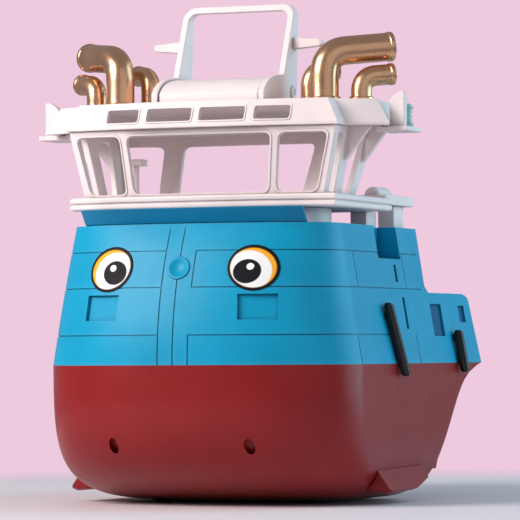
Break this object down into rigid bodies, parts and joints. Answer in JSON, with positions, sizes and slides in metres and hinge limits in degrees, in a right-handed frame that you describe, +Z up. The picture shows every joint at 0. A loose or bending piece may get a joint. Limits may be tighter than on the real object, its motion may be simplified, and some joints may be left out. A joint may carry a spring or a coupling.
{
  "type": "toy boat",
  "caption": "Tug-style toy boat: red and blue hull with cartoon eyes, open white wheelhouse with bridge wings, gold exhaust pipes, a folding mast arch and hidden running wheels.",
  "frame": {"origin": "on the floor, midway between the stem and the transom, on the centre line", "axes": "+Z up, -Y towards the bow, +X to port; the boat is symmetrical about x = 0 except for the helm stand"},
  "size_m": [0.206, 0.2466, 0.26],
  "materials": {
    "red_plastic": "satin moulded red plastic",
    "blue_plastic": "satin moulded blue plastic",
    "deck_blue": "matt blue plastic deck",
    "visor_blue": "satin deep blue plastic",
    "white_plastic": "warm white plastic with a soft sheen",
    "gold_metal": "satin copper-gold metallised coating",
    "black_rubber": "glossy black",
    "eye_sticker": "glossy printed sticker",
    "lamp_lens": "clear pale green lens",
    "steel": "plain bright steel rod",
    "wheel_plastic": "matt black plastic"
  },
  "bodies": {
    "hull": {"hull_bottom": "red_plastic", "hull_top": "blue_plastic", "fore_deck": "deck_blue", "aft_deck": "deck_blue", "bow_button": "blue_plastic", "bow_visor": "visor_blue", "wheelhouse_base": "white_plastic", "deckhouse": "white_plastic", "boat_deck": "white_plastic", "wheelhouse": "white_plastic", "helm_stand": "white_plastic", "roof": "white_plastic", "mast_housing": "white_plastic", "eye_port": "eye_sticker", "bilge_fin_port": "red_plastic", "stern_skeg_port": "red_plastic", "fender_front_port": "black_rubber", "fender_rear_port": "black_rubber", "deck_column_port": "white_plastic", "deck_post_port": "white_plastic", "canister_port": "white_plastic", "light_screen_port": "white_plastic", "nav_lamp_port": "lamp_lens", "exhaust_main_port": "gold_metal", "exhaust_outer_port": "gold_metal", "exhaust_inner_port": "gold_metal", "eye_starboard": "eye_sticker", "bilge_fin_starboard": "red_plastic", "stern_skeg_starboard": "red_plastic", "fender_front_starboard": "black_rubber", "fender_rear_starboard": "black_rubber", "deck_column_starboard": "white_plastic", "deck_post_starboard": "white_plastic", "canister_starboard": "white_plastic", "light_screen_starboard": "white_plastic", "nav_lamp_starboard": "lamp_lens", "exhaust_main_starboard": "gold_metal", "exhaust_outer_starboard": "gold_metal", "exhaust_inner_starboard": "gold_metal"},
    "mast": {"mast_arch": "white_plastic", "mast_pin": "steel", "mast_arm_port": "white_plastic", "mast_arm_starboard": "white_plastic"},
    "wheels_front": {"axle_front": "steel", "wheel_front_port": "wheel_plastic", "wheel_front_starboard": "wheel_plastic"},
    "wheels_rear": {"axle_rear": "steel", "wheel_rear_port": "wheel_plastic", "wheel_rear_starboard": "wheel_plastic"}
  },
  "joints": [
    {"name": "mast_fold", "type": "hinge", "parent": "hull", "child": "mast", "pos_m": [0, -0.03625, 0.2132], "axis": [-1, 0, 0], "range_deg": [0, 75]},
    {"name": "front_wheels_roll", "type": "hinge", "parent": "hull", "child": "wheels_front", "pos_m": [0, -0.04025, 0.009], "axis": [1, 0, 0], "continuous": true},
    {"name": "rear_wheels_roll", "type": "hinge", "parent": "hull", "child": "wheels_rear", "pos_m": [0, 0.02775, 0.009], "axis": [1, 0, 0], "continuous": true}
  ]
}
